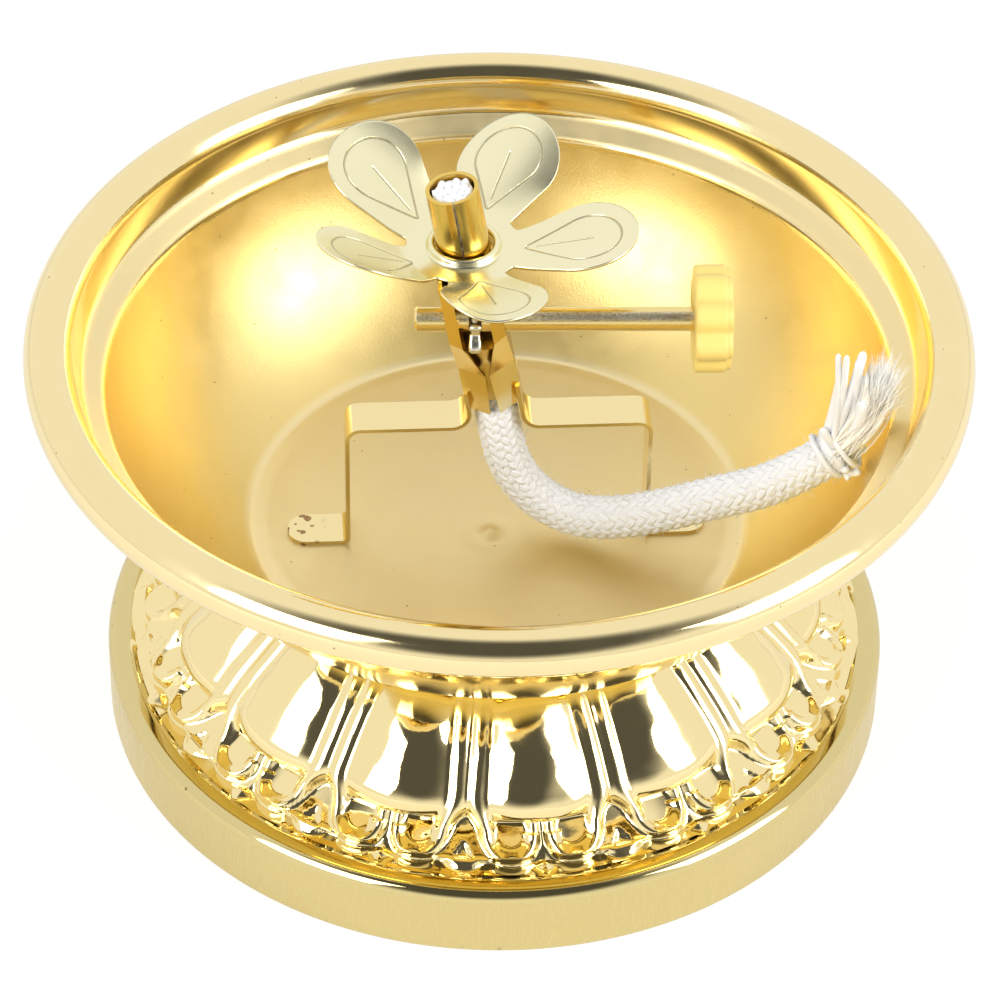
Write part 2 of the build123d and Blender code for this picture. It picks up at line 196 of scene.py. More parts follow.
# %% Route of the wick's tail
tail_route = MM * np.array(
    [
        [(-0.533, -2.337, 48.605), (0.352, -2.502, 42.6)],
        [(1.902, -2.652, 37.2), (4.9, -3.1, 33.2)],
        [(9.5, -4.5, 31.4), (14.9, -6.2, 32.6)],
        [(21.0, -7.5, 35.3), (27.5, -8.0, 38.1)],
        [(34.9, -7.7, 40.2), (42.1, -6.6, 45.1)],
    ]
).reshape(-1, 3)
route_data = bpy.data.curves.new("wick_route", "CURVE")
route_data.dimensions = "3D"
route = route_data.splines.new("NURBS")
route.points.add(len(tail_route) - 1)
route.points.foreach_set("co", np.hstack([tail_route, np.ones((len(tail_route), 1))]).ravel())
route.order_u = 3
route.use_endpoint_u = True
route_data.resolution_u = 24
route_object = bpy.data.objects.new("wick_route", route_data)
scene.collection.objects.link(route_object)
route_mesh = bpy.data.meshes.new_from_object(route_object)
tail_line = np.array([vertex.co for vertex in route_mesh.vertices])
bpy.data.objects.remove(route_object)
tail_points, tail_along = even_points(tail_line, 236)
print("tail length mm", round(tail_along[-1] / MM, 2))

# %% Braid


def line_frames(line):
    """Directions across and up at each point: across is Y with its part along the line taken out."""
    along = unit(np.gradient(line, axis=0))
    sideways = np.array([0.0, 1.0, 0.0])
    across = unit(sideways - (along @ sideways)[:, None] * along)
    return across, np.cross(along, across)


def tube_grid(line, across, up, radii, sides):
    """Round tube along a line: a ring of points at each radius, closed to a point at both ends."""
    radii = np.broadcast_to(radii, len(line)).copy()
    radii[[0, -1]] = 0
    return line[:, None] + radii[:, None, None] * circle(full_turn(sides), across[:, None], up[:, None])


def braid_grids(line, distance, radius, pitch, per_way, half_width, half_thick, weave):
    """Yarns of a round braid, one grid each.

    A yarn turns round the line once in a pitch, one family each way, and its radius swings by the
    weave with the count of crossings, so that it goes over two yarns and under two. Its section is an
    ellipse of seven sides, tapered to a point at both ends.
    """
    sides = 7
    across, up = line_frames(line)
    way = np.array([1, -1])[:, None, None]
    number = np.arange(per_way)[None, :, None]
    angle = 2 * np.pi * number / per_way + way * 2 * np.pi * distance / pitch
    crossing = 2 * number + way * 2 * per_way * distance / pitch
    swing = way * weave * np.sin(np.pi / 2 * crossing + np.pi / 4)
    outward = circle(angle, across, up)
    centre = line + (radius + swing)[..., None] * outward
    sideways = np.cross(unit(np.gradient(centre, axis=2)), outward)
    turn = full_turn(sides)[:, None]
    end_share = np.minimum(np.arange(len(line)), np.arange(len(line))[::-1])
    size = np.sqrt(np.clip(end_share / 3, 0, 1))[:, None, None]
    wide = half_width * np.cos(turn) * sideways[..., None, :]
    thick = half_thick * np.sin(turn) * outward[..., None, :]
    grids = centre[..., None, :] + size * (wide + thick)
    return grids.reshape(-1, len(line), sides, 3)


def braid_attributes(grids, distance):
    """Places on each yarn in millimetres: along it, and round it with a different start for each yarn."""
    yarns, samples, sides = grids.shape[:3]
    along = np.broadcast_to((distance / MM)[None, :, None], (yarns, samples, sides))
    round_yarn = np.arange(sides)[None, None, :] * 0.4 + np.arange(yarns)[:, None, None] * 7.3
    return {"along": along, "around": np.broadcast_to(round_yarn, (yarns, samples, sides))}


tail_yarns = braid_grids(
    tail_points,
    tail_along,
    radius=2.2 * MM,
    pitch=22 * MM,
    per_way=16,
    half_width=0.58 * MM,
    half_thick=0.36 * MM,
    weave=0.2 * MM,
)
wick_tail = grid_object("wick_braid", tail_yarns, attributes=braid_attributes(tail_yarns, tail_along))
tail_across, tail_up = line_frames(tail_points)
filling_radius = 2.15 * MM
tail_filling = tube_grid(tail_points, tail_across, tail_up, filling_radius, 24)
wick_filling = grid_object("wick_filling", tail_filling)
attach(wick_tail, "lamp")
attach(wick_filling, "lamp")
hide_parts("wick_tail")

# %% [markdown]
# ## Shader helpers
#
# A finish is a tree of nodes. One small class adds a node and fills its inputs, so that each finish below
# reads as a short list, and a second one starts a material on the Principled shader. Three effects are
# shared by several metals and are built once as node groups: a satin grain, brushing, and specks, which
# mark wear and scorch, and on the rod give painted glints.

# %% Node helpers


class Nodes:
    """Node tree with short ways to add to it."""

    def __init__(self, tree):
        self.tree = tree

    def fill(self, socket, value):
        """Link an input to another node's output, or set its value."""
        if isinstance(value, bpy.types.NodeSocket):
            self.tree.links.new(value, socket)
        else:
            socket.default_value = value

    def add(self, kind, inputs=None, **settings):
        """New node with its settings and inputs."""
        node = self.tree.nodes.new(kind)
        for name, value in settings.items():
            setattr(node, name, value)
        for key, value in (inputs or {}).items():
            self.fill(node.inputs[key], value)
        return node

    def math(self, operation, first, second=0.0):
        """Output of a Math node on one or two values."""
        return self.add("ShaderNodeMath", {0: first, 1: second}, operation=operation).outputs[0]

    def dot(self, place, way):
        """Dot product of a place and a direction."""
        return self.add("ShaderNodeVectorMath", {0: place, 1: way}, operation="DOT_PRODUCT").outputs["Value"]

    def noise(self, place, scale, detail):
        """Fractal noise at a place."""
        inputs = {"Vector": place, "Scale": scale, "Detail": detail}
        return self.add("ShaderNodeTexNoise", inputs).outputs["Fac"]

    def map(self, value, low, high, new_low=0.0, new_high=1.0):
        """Value moved from one range to another, smoothly and clamped."""
        inputs = {0: value, 1: low, 2: high, 3: new_low, 4: new_high}
        return self.add("ShaderNodeMapRange", inputs, interpolation_type="SMOOTHSTEP").outputs[0]

    def mix(self, share, first, second):
        """Colour between two colours, by a share."""
        return self.add("ShaderNodeMix", {0: share, 6: first, 7: second}, data_type="RGBA").outputs[2]


def new_group(name, values, outputs):
    """Empty shader group with a Place, inputs with default values, and outputs of one number each."""
    group = bpy.data.node_groups.new(name, "ShaderNodeTree")
    group.interface.new_socket("Place", in_out="INPUT", socket_type="NodeSocketVector")
    for label, value in values.items():
        kind = "NodeSocketVector" if isinstance(value, tuple) else "NodeSocketFloat"
        group.interface.new_socket(label, in_out="INPUT", socket_type=kind).default_value = value
    for label in outputs:
        group.interface.new_socket(label, in_out="OUTPUT", socket_type="NodeSocketFloat")
    start = group.nodes.new("NodeGroupInput")
    end = group.nodes.new("NodeGroupOutput")
    return Nodes(group), start.outputs, end.inputs


# %% Shared effects
satin_grain, grain_in, grain_out = new_group("satin_grain", {"Scale": 2500.0}, ["Height", "Cloud"])
cloud_scale = satin_grain.math("MULTIPLY", grain_in["Scale"], 0.05)
satin_grain.fill(grain_out["Height"], satin_grain.noise(grain_in["Place"], grain_in["Scale"], 3.0))
satin_grain.fill(grain_out["Cloud"], satin_grain.noise(grain_in["Place"], cloud_scale, 2.0))

brushing, brush_in, brush_out = new_group("brushing", {"Stretch": (3000.0, 3000.0, 60.0)}, ["Height"])
stretch_inputs = {0: brush_in["Place"], 1: brush_in["Stretch"]}
stretched = brushing.add("ShaderNodeVectorMath", stretch_inputs, operation="MULTIPLY").outputs[0]
brushing.fill(brush_out["Height"], brushing.noise(stretched, 1.0, 4.0))

# Specks: wear on the bowl and the band, scorch on the holder, and painted glints on the rod.
wear_and_glint_specks, speck_in, speck_out = new_group("wear_and_glint_specks", {"Scale": 260.0, "Amount": 0.1}, ["Mask"])
cell_inputs = {"Vector": speck_in["Place"], "Scale": speck_in["Scale"]}
speck_centre = wear_and_glint_specks.add("ShaderNodeTexVoronoi", cell_inputs, distance="EUCLIDEAN").outputs["Distance"]
speck_noise = wear_and_glint_specks.noise(speck_in["Place"], speck_in["Scale"], 4.0)
speck_size = wear_and_glint_specks.math("MULTIPLY", speck_noise, speck_in["Amount"])
speck_inside = wear_and_glint_specks.math("SUBTRACT", speck_size, speck_centre)
wear_and_glint_specks.fill(speck_out["Mask"], wear_and_glint_specks.map(speck_inside, 0.0, 0.02))
print("shader groups", [group.name for group in bpy.data.node_groups])

# %% Materials


class Finish(Nodes):
    """Material on a Principled shader, whose patterns read Object coordinates."""

    def __init__(self, name, metallic=0.0):
        self.material = bpy.data.materials.new(name)
        self.material.use_nodes = True
        super().__init__(self.material.node_tree)
        self.shader = self.tree.nodes["Principled BSDF"]
        self.shader.inputs["Metallic"].default_value = metallic
        self.place = self.add("ShaderNodeTexCoord").outputs["Object"]

    def effect(self, group, **values):
        """Outputs of a shared effect, with its values for this finish."""
        return self.add("ShaderNodeGroup", {"Place": self.place, **values}, node_tree=group.tree).outputs

    def axes(self):
        """The place as X, Y and Z."""
        return self.add("ShaderNodeSeparateXYZ", {0: self.place}).outputs

    def attribute(self, name):
        """Value that the mesh carries at each point."""
        return self.add("ShaderNodeAttribute", attribute_name=name).outputs["Fac"]

    def wire(self, name, value):
        """Set or link one input of the shader."""
        self.fill(self.shader.inputs[name], value)

    def bump(self, height, distance):
        """Bump on the shader's normal, with the height's full depth as a distance in metres."""
        node = self.add("ShaderNodeBump", {"Height": height, "Distance": distance, "Strength": 1.0})
        self.wire("Normal", node.outputs["Normal"])

    def cover(self, *pieces):
        """Put the material on some pieces."""
        for piece in pieces:
            piece.data.materials.append(self.material)


# %% [markdown]
# ## Bowl
#
# The bowl is one pressed sheet: a flat floor, a round wall, a step and a rolled rim. Its section is carried
# round the axis. The inside has a satin grain, which spreads the lamps into soft blooms, and the rim is
# brighter. A small weld mark stands near the middle of the floor, over the foot.

# %% Bowl section


def arc_points(centre, radius, start, turn, count):
    """Points of a circle from a start angle through a turn, in degrees."""
    angle = np.radians(np.linspace(start, start + turn, count))
    return np.stack([centre[0] + radius * np.cos(angle), centre[1] + radius * np.sin(angle)], axis=1)


def bend_points(before, corner, after, size, count):
    """Rounded corner: a quadratic curve that leaves and meets the two runs at the size from the corner."""
    corner = np.asarray(corner, dtype=float)
    start = corner + unit(np.asarray(before) - corner) * size
    end = corner + unit(np.asarray(after) - corner) * size
    share = np.linspace(0, 1, count)[:, None]
    return quadratic(start, corner, end, share)


def thicken(points, thickness):
    """Closed section of a sheet: its face, and the face moved right of its run by the thickness."""
    run = unit(np.gradient(points, axis=0))
    right = np.stack([run[:, 1], -run[:, 0]], axis=1)
    back = points + thickness * right
    back[:, 0] = np.maximum(back[:, 0], 0)
    return np.vstack([points, back[::-1]])


def turned_grid(section, columns):
    """Section of radius and height carried round the Z axis."""
    angle = full_turn(columns) + np.pi / 2
    radius = section[:, 0][:, None]
    height = np.broadcast_to(section[:, 1][:, None], (len(section), columns))
    return np.stack([radius * np.cos(angle), radius * np.sin(angle), height], axis=-1)


floor_z = 27.5
floor_radius = 30.9
wall_centre = (14.75, 57.876)
wall_radius = 34.403
wall_top = (48.4, 50.72)
ledge_end = (51.1, 52.32)
bead_centre = (55.06, 55.52)
bead_radius = 2.96
bowl_thickness = 0.6
bowl_columns = 240
weld_mark = (-0.8, -3.7)
floor_rings = np.concatenate([np.linspace(0, 9, 37), np.linspace(9.5, floor_radius - 1.4, 22)])
wall_points = arc_points(wall_centre, wall_radius, -62, 50, 46)
floor_line = np.stack([floor_rings, np.full(len(floor_rings), floor_z)], axis=1)
bead_points = arc_points(bead_centre, bead_radius, 180, -300, 64)
bowl_face = np.vstack(
    [
        floor_line,
        bend_points(floor_line[-1], (floor_radius, floor_z), wall_points[2], 0.5, 7),
        wall_points[2:-2],
        bend_points(wall_points[-3], wall_top, ledge_end, 0.7, 8),
        bend_points(wall_top, ledge_end, bead_points[0], 0.8, 8),
        bead_points,
    ]
)
bowl_section = thicken(bowl_face, bowl_thickness)
bowl_grid = turned_grid(bowl_section, bowl_columns)
mark_distance = np.hypot(bowl_grid[..., 0] - weld_mark[0], bowl_grid[..., 1] - weld_mark[1])
on_floor = (bowl_grid[..., 2] == floor_z) * 1.0
bowl_grid[..., 2] += on_floor * (0.55 * crest(mark_distance, 1.0) - 0.14 * crest(mark_distance - 2.2, 1.2))
row = np.arange(len(bowl_section))
crease_row = len(floor_line) - 1
wall_row = crease_row + 8
ledge_row = wall_row + len(wall_points) - 4
# Roughness and depth of tint by zone: floor, crease, wall, the line at its top, ledge, rim, and outside.
zone_ends = [crease_row, wall_row, ledge_row, ledge_row + 4, ledge_row + 12, len(bowl_face)]
zones = [row < zone_end for zone_end in zone_ends]
row_grain = np.select(zones, [0.5, 0.34, 0.36, 0.12, 0.42, 0.1], 0.12)
# The deeper tint on the wall and the outside is a painted reflection: it stands in for light bounced between
# gold faces.
row_bounce_tint = np.select(zones, [0.0, 0.0, 0.5, 0.0, 0.0, 0.0], 1.0)
bowl_grain = np.broadcast_to(row_grain[:, None], bowl_grid.shape[:2])
bowl_bounce_tint = np.broadcast_to(row_bounce_tint[:, None], bowl_grid.shape[:2])
bowl = grid_object("bowl_sheet", bowl_grid * MM, attributes={"grain": bowl_grain, "depth": bowl_bounce_tint})
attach(bowl, "lamp")
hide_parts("bowl")

# %% Bowl finish: satin inside, brighter rim, and a painted reflection tint on the wall and outside
finish = Finish("bowl_gold", metallic=1.0)
grain = finish.effect(satin_grain, Scale=4000.0)
specks = finish.effect(wear_and_glint_specks, Scale=330.0, Amount=0.09)
cloudy = finish.map(grain["Cloud"], 0.3, 0.7, -0.03, 0.05)
finish.wire("Roughness", finish.math("ADD", finish.attribute("grain"), cloudy))
pale_gold = finish.mix(grain["Cloud"], (0.88, 0.73, 0.39, 1), (0.92, 0.77, 0.43, 1))
# Deeper gold, a painted reflection colour, laid on the wall and the outside by the depth attribute.
painted_bounce_gold = finish.mix(grain["Cloud"], (0.78, 0.57, 0.13, 1), (0.82, 0.61, 0.17, 1))
gold_tint = finish.mix(finish.attribute("depth"), pale_gold, painted_bounce_gold)
finish.wire("Base Color", finish.mix(specks["Mask"], gold_tint, (0.30, 0.20, 0.08, 1)))
satin = finish.map(finish.attribute("grain"), 0.15, 0.35)
finish.bump(finish.math("MULTIPLY", grain["Height"], satin), 0.02 * MM)
finish.cover(bowl)

# %% [markdown]
# ## Lotus foot
#
# The foot is a pressed cone over a straight band. Fourteen petals run down the cone: each is a domed panel
# with a thin ridge down both sides, and it ends in two scooped lobes. A narrow leaf lies in each gap and
# opens to a point on the ledge. The relief is a height above the cone, worked out from the place down the
# slope and across the petal, so one grid gives every petal.

# %% Lotus relief
petal_count = 14
first_petal = np.radians(-81.5)
slope_top = np.array([28.6, 25.5])
slope_end = np.array([44.2, 9.9])
slope_bulge = 1.3
slope_length = np.linalg.norm(slope_end - slope_top)
panel_foot = 17.0
lobe_level = 18.6
lobe_offset = 3.95
lobe_radius = 2.9


def slope_points(share, sink):
    """Cone's section between its two ends, swelled by a parabola and sunk below the face."""
    run = slope_end - slope_top
    out = np.array([-run[1], run[0]]) / slope_length
    swell = 4 * slope_bulge * share * (1 - share) - sink
    return slope_top + share[:, None] * run + swell[:, None] * out


def lotus_height(down, side, half_pitch):
    """Relief in millimetres, from the distance down the slope and the distance from the petal's middle.

    half_pitch is half the distance between two petals there. The panel is a cushion that rolls over at its
    top and at its foot. A bead runs down beside it, then round the lobe as a U, and a second bead
    parts the two lobes. The leaf between the petals is a diamond with a sunken middle, and a small pyramid
    stands under the middle of each petal. The highest of these forms counts, with a soft join.
    """
    gap = half_pitch - side
    spread = smoothstep(14.0, lobe_level, down)
    bead_line = (1 - spread) * (half_pitch - 1.2) + spread * (lobe_offset + lobe_radius)
    panel_half = bead_line - 1.25
    top_roll = np.clip(1 - down / 3.2, 0, 1) ** 2
    foot_roll = np.clip((down - panel_foot + 2.4) / 2.4, 0, 1) ** 2
    panel = 1.55 - 1.35 * (side / panel_half) ** 2 - 1.55 * top_roll - 0.95 * foot_roll
    panel = panel - 4 * smoothstep(panel_foot, panel_foot + 0.4, down)
    lobe = np.hypot(side - lobe_offset, np.maximum(down - lobe_level, 0))
    on_lobe = down > lobe_level
    outer_bead = np.where(on_lobe, lobe - lobe_radius, side - bead_line)
    middle_bead = np.where(on_lobe, lobe - lobe_radius, side - lobe_offset + lobe_radius)
    before_panel_foot = 4 * (1 - smoothstep(panel_foot - 0.5, panel_foot + 0.3, down))
    below = np.maximum(down, 16.5) - 19.8
    cup = 0.52 * below + 0.03 * below**2
    to_lobe = smoothstep(15.0, 17.6, down)
    crest_line = 0.3 + np.log(np.exp(0.8 - 0.8 * to_lobe) + np.exp(4 * cup)) / 4
    bead_half = 1.2 - to_lobe * np.where(outer_bead > 0, 0.55, 0.3)
    bead = crest_line - (0.5 + 0.1 * to_lobe) * (outer_bead / bead_half) ** 2
    bead = bead - 0.95 * np.clip(1 - down / 2.2, 0, 1) ** 2
    parting_half = np.where(middle_bead > 0, 0.65, 0.9)
    parting = 0.5 + np.maximum(cup, -0.6) - 0.6 * (middle_bead / parting_half) ** 2 - before_panel_foot
    scoop = cup - 0.1 + 0.12 * ((side - lobe_offset) / 2.0) ** 2
    scoop = scoop - 4 * smoothstep(lobe_radius - 0.2, lobe_radius + 0.2, lobe) - before_panel_foot
    tip_half = np.where(down < 22.0, 3.2, 1.9 * np.clip((24.2 - down) / 2.2, 0, 1))
    leaf = 1.0 + 0.62 * np.minimum(down - 22.0, 0) - 0.9 * np.clip((down - 22.0) / 1.6, 0, 2) ** 2
    leaf = leaf - 1.2 * np.clip((gap - tip_half) / 0.8, 0, 2) ** 2
    in_triangle = smoothstep(0.0, 0.4, 0.6 * (down - 19.4) - gap)
    leaf = leaf - 0.35 * in_triangle * (1 - smoothstep(21.2, 21.8, down))
    leaf = leaf - 4 * (1 - smoothstep(14.5, 16.5, down)) - 4 * smoothstep(3.6, 4.2, gap)
    pyramid = 0.9 * (1 - side / 1.5 - np.abs(down - 23.0) / 1.6)
    ground = -1.6 * smoothstep(14.5, 16.5, down) * (1 - np.clip((down - 17.0) / 5.0, 0, 1)) + 0 * side
    forms = np.stack([panel, bead, parting, scoop, leaf, pyramid, ground])
    sharpness = 7.0
    return np.log(np.exp(sharpness * forms).sum(axis=0)) / sharpness


lotus_columns = petal_count * 58
lotus_angle = full_turn(lotus_columns)
pitch_angle = 2 * np.pi / petal_count
petal_angle = (lotus_angle - first_petal + pitch_angle / 2) % pitch_angle - pitch_angle / 2
down_slope = np.concatenate([np.linspace(0, 15.4, 28), np.linspace(15.6, 24.9, 52)])
slope_share = np.clip(down_slope / slope_length, 0, 1)
lotus_base = slope_points(slope_share, 0.05)
lotus_base[:, 0] += np.maximum(down_slope - slope_length, 0)
lotus_run = unit(np.gradient(lotus_base, axis=0))
long_run = np.pad(lotus_run, ((5, 5), (0, 0)), "edge")
soft_run = np.stack([np.convolve(long_run[:, axis], np.ones(11) / 11, "valid") for axis in (0, 1)], axis=1)
lotus_out = unit(np.stack([-soft_run[:, 1], soft_run[:, 0]], axis=1))
base_radius = lotus_base[:, 0][:, None]
row_down = down_slope[:, None]
relief = lotus_height(row_down, np.abs(base_radius * petal_angle), base_radius * pitch_angle / 2)
unevenness = np.sin(5 * lotus_angle + 0.31 * row_down) * np.sin(9 * lotus_angle - 0.43 * row_down)
edge_fade = smoothstep(0, 0.4, down_slope) * (1 - smoothstep(24.0, 25.0, down_slope))
relief = (relief + 0.05 * unevenness) * edge_fade[:, None]
foot_sheet = 0.6


def lotus_rings(height, rows):
    """Radius and height of some rows of the slope, each point moved out by its relief."""
    ring_radius = base_radius[rows] + height[rows] * lotus_out[rows, 0][:, None]
    ring_height = lotus_base[rows, 1][:, None] + height[rows] * lotus_out[rows, 1][:, None]
    return np.stack([ring_radius, ring_height], axis=-1)


top_disc = np.array([(0, 26.9), (14, 26.9), (27.6, 26.9), (28.35, 26.7), (28.6, 26.2)])
top_rings = np.broadcast_to(top_disc[:, None], (len(top_disc), lotus_columns, 2))
inside_disc = np.array([(27.9, 26.1), (14, 26.3), (0, 26.3)])
inside_rings = np.broadcast_to(inside_disc[:, None], (len(inside_disc), lotus_columns, 2))
inside_rows = np.arange(len(down_slope))[::-3]
lotus_section = np.concatenate(
    [
        top_rings,
        lotus_rings(relief, np.arange(len(down_slope))),
        lotus_rings(relief - foot_sheet, inside_rows),
        inside_rings,
    ]
)
lotus_reach = lotus_section[..., 0]
lotus_grid = np.stack(
    [lotus_reach * np.cos(lotus_angle), lotus_reach * np.sin(lotus_angle), lotus_section[..., 1]], axis=-1
)
lotus = grid_object("foot_lotus", lotus_grid * MM, wrap_rows=True)
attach(lotus, "lamp")
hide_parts("foot")

# %% Band, ledge and hollow underside of the foot
foot_face = np.vstack(
    [
        [(46.2, 9.87), (47.2, 9.9)],
        arc_points((48.05, 8.3), 1.6, 90, -90, 12),
        np.stack([np.full(9, 49.65), np.linspace(7.6, 0.5, 9)], axis=1),
        arc_points((49.15, 0.5), 0.5, 0, -90, 5),
    ]
)
foot_back = np.vstack(
    [
        [(48.1, 0), (47.85, 0.25), (47.85, 1.2), (49.05, 1.2), (49.05, 8.3)],
        arc_points((48.05, 8.3), 1.0, 0, 90, 6),
        [(46.2, 9.3)],
    ]
)
band_grid = turned_grid(np.vstack([foot_face, foot_back]), 256)
foot_base = grid_object("foot_band", band_grid * MM, wrap_rows=True)
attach(foot_base, "lamp")
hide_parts("foot")

# %% Foot finishes: mirror lotus, brushed band
finish = Finish("lotus_gold", metallic=1.0)
grain = finish.effect(satin_grain, Scale=900.0)
finish.wire("Roughness", finish.map(grain["Cloud"], 0.35, 0.65, 0.035, 0.09))
lotus_tint = finish.mix(grain["Cloud"], (0.89, 0.73, 0.37, 1), (0.92, 0.77, 0.41, 1))
finish.wire("Base Color", lotus_tint)
dents = finish.noise(finish.place, 150.0, 1.0)
uneven = finish.math("ADD", dents, finish.math("MULTIPLY", grain["Height"], 0.015))
finish.bump(uneven, 0.45 * MM)
finish.cover(lotus)

finish = Finish("band_gold", metallic=1.0)
axes = finish.axes()
brush = finish.effect(brushing, Stretch=(2600.0, 2600.0, 40.0))
marks = finish.effect(wear_and_glint_specks, Scale=420.0, Amount=0.22)
from_shoulder = finish.math("ABSOLUTE", finish.math("SUBTRACT", axes["Z"], 9.1 * MM))
near_shoulder = finish.map(from_shoulder, 0.0, 0.8 * MM, 1.0, 0.0)
near_hem = finish.map(axes["Z"], 0.2 * MM, 1.0 * MM, 1.0, 0.0)
wear_and_painted_reflection = finish.math("MULTIPLY", finish.math("MAXIMUM", near_shoulder, near_hem), marks["Mask"])
# The band's gold is darker than the lotus's: painted shade, standing in for the dim floor in front of the
# foot that it reflects.
finish.wire("Base Color", finish.mix(wear_and_painted_reflection, (0.70, 0.58, 0.27, 1), (0.33, 0.24, 0.1, 1)))
on_band = finish.map(axes["Z"], 8.2 * MM, 9.2 * MM, 1.0, 0.0)
brushed = finish.map(brush["Height"], 0.3, 0.7, 0.24, 0.36)
polish = finish.add("ShaderNodeMix", {0: on_band, 2: 0.06, 3: brushed}).outputs[0]
finish.wire("Roughness", polish)
finish.bump(finish.math("MULTIPLY", brush["Height"], on_band), 0.006 * MM)
finish.cover(foot_base)

# %% [markdown]
# ## Flower collar
#
# A thin stamped flower slips over the tube. Its five petals bend up by different amounts, and a line is
# engraved inside each edge, with a vein in the middle. In polar coordinates the outline has one radius at
# each angle, so the whole flower is one grid from the hole to its edge.

# %% Flower surface
flower_origin = np.array([-4.451, -2.611, 72.079])
petal_turns = np.radians([-3, 69, 141, 213, 285])
petal_bends = np.radians([14, 24, 31, 30, 19])
petal_cups = np.array([0.012, -0.03, 0.024, 0.02, 0.012])
petal_twists = np.array([0.0, -0.012, -0.008, 0.01, 0.0])
flower_hole = 3.55
flower_sheet = 0.4
front_fold = 0.06
hinge = 6.2
half_angles = np.concatenate(
    [np.linspace(0, 23.5, 22), np.linspace(24, 29.5, 24), np.linspace(30.2, 35.5, 6)]
)
local_angles = np.radians(np.concatenate([-half_angles[:0:-1], half_angles]))


def flower_edge(angle):
    """Outline radius of a petal: a round tip, straight sides to the neck, and the disc between petals."""
    away = np.abs(angle)
    tip = circle_reach(away, 14.9, 6.3)
    side = 0.916 / np.clip(np.sin(away) - 0.393 * np.cos(away), 0.03, None)
    petal = np.where(away < np.radians(24.95), tip, side)
    return np.log(np.exp(1.5 * petal) + np.exp(1.5 * 6.9)) / 1.5


def drop_distance(out, across):
    """Signed distance in millimetres to the engraved drop: the hull of a small and a large circle."""
    small, large, span = 0.25, 4.1, 7.4
    along = out - 7.6
    side = np.abs(across)
    lean = (large - small) / span
    level = np.sqrt(1 - lean * lean)
    station = along * level + side * lean
    near_small = np.hypot(along, side) - small
    near_large = np.hypot(along - span, side) - large
    straight = side * level - along * lean - small
    return np.where(station < 0, near_small, np.where(station > span * level, near_large, straight))


def petal_rise(out, bend):
    """Level and height reached at a distance out along a petal that bends up at its hinge."""
    station = np.linspace(0, 24, 481)
    lean = bend * smoothstep(hinge - 1.6, hinge + 2.4, station)
    step = station[1] - station[0]
    level = np.cumsum(np.cos(lean)) * step
    height = np.cumsum(np.sin(lean)) * step
    return np.interp(out, station, level - level[0]), np.interp(out, station, height)


near_hole = np.linspace(flower_hole, 5.0, 14)
outer_share = np.linspace(0, 1, 52)[1:]
edge_radius = flower_edge(local_angles)
radius = np.concatenate(
    [
        np.broadcast_to(near_hole[:, None], (14, len(local_angles))),
        near_hole[-1] + outer_share[:, None] * (edge_radius - near_hole[-1]),
    ]
)
out = radius * np.cos(local_angles)
across = radius * np.sin(local_angles)
bead_height = 0.9 * np.sqrt(np.clip(1 - ((radius - 4.0) / 0.55) ** 2, 0, 1))
drop = drop_distance(out, across)
tops = []
undersides = []
for turn, bend, curve, twist in zip(petal_turns, petal_bends, petal_cups, petal_twists):
    level, height = petal_rise(out, bend)
    cup = (curve * across**2 + twist * across * (out - hinge)) * smoothstep(hinge, 13, out)
    is_front = turn == petal_turns[-1]
    fold = front_fold * np.clip(-across - 0.6, 0, None) ** 2 * smoothstep(hinge, 10, out) * is_front
    outward = level * np.cos(turn) - across * np.sin(turn)
    sideways = level * np.sin(turn) + across * np.cos(turn)
    tops.append(np.stack([outward, sideways, height + cup + fold + flower_sheet + bead_height], axis=-1))
    undersides.append(np.stack([outward, sideways, height + cup + fold], axis=-1))
top = np.concatenate(tops, axis=1)
underside = np.concatenate(undersides, axis=1)
flower_grid = np.concatenate([top, underside[::-1]]) + flower_origin


def both_faces(values):
    """Values of one petal, repeated round the flower and on its underside."""
    round_flower = np.tile(values, (1, 5))
    return np.concatenate([round_flower, round_flower[::-1]])


places = {"drop": both_faces(drop), "out": both_faces(out), "across": both_faces(across)}
flower = grid_object("flower_petals", flower_grid * MM, wrap_rows=True, attributes=places)
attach(flower, "flower")
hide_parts("flower_collar")

# %% Flower finish: pale satin with engraved lines
finish = Finish("flower_gold", metallic=1.0)
grain = finish.effect(satin_grain, Scale=1500.0)
drop_line = finish.map(finish.math("ABSOLUTE", finish.attribute("drop")), 0.04, 0.17)
vein_side = finish.map(finish.math("ABSOLUTE", finish.attribute("across")), 0.04, 0.16)
before_vein = finish.map(finish.attribute("out"), 8.6, 8.8, 1.0, 0.0)
past_vein = finish.map(finish.attribute("out"), 15.4, 15.8)
vein = finish.math("MAXIMUM", vein_side, finish.math("MAXIMUM", before_vein, past_vein))
line = finish.math("MINIMUM", drop_line, vein)
finish.wire("Roughness", finish.map(grain["Cloud"], 0.3, 0.7, 0.18, 0.25))
pale = finish.mix(grain["Cloud"], (0.87, 0.81, 0.51, 1), (0.91, 0.85, 0.58, 1))
# The engraved lines are cut by the bump, and their darker colour is painted shade in the grooves.
finish.wire("Base Color", finish.mix(line, (0.62, 0.55, 0.34, 1), pale))
relief_height = finish.math("ADD", line, finish.math("MULTIPLY", grain["Height"], 0.05))
finish.bump(relief_height, 0.12 * MM)
finish.cover(flower)

# %% [markdown]
# ## Holder, rod and wheel
#
# The holder and the rod keep their imported solids, whose folded sheet and holes are already there, and get
# their finishes: a polished strip with heat marks at the weld, and a drawn rod with a painted reflection, a
# dark line with pale specks. A folded lip closes the V of the stem, and the wheel is made again as a star
# with rounded points.

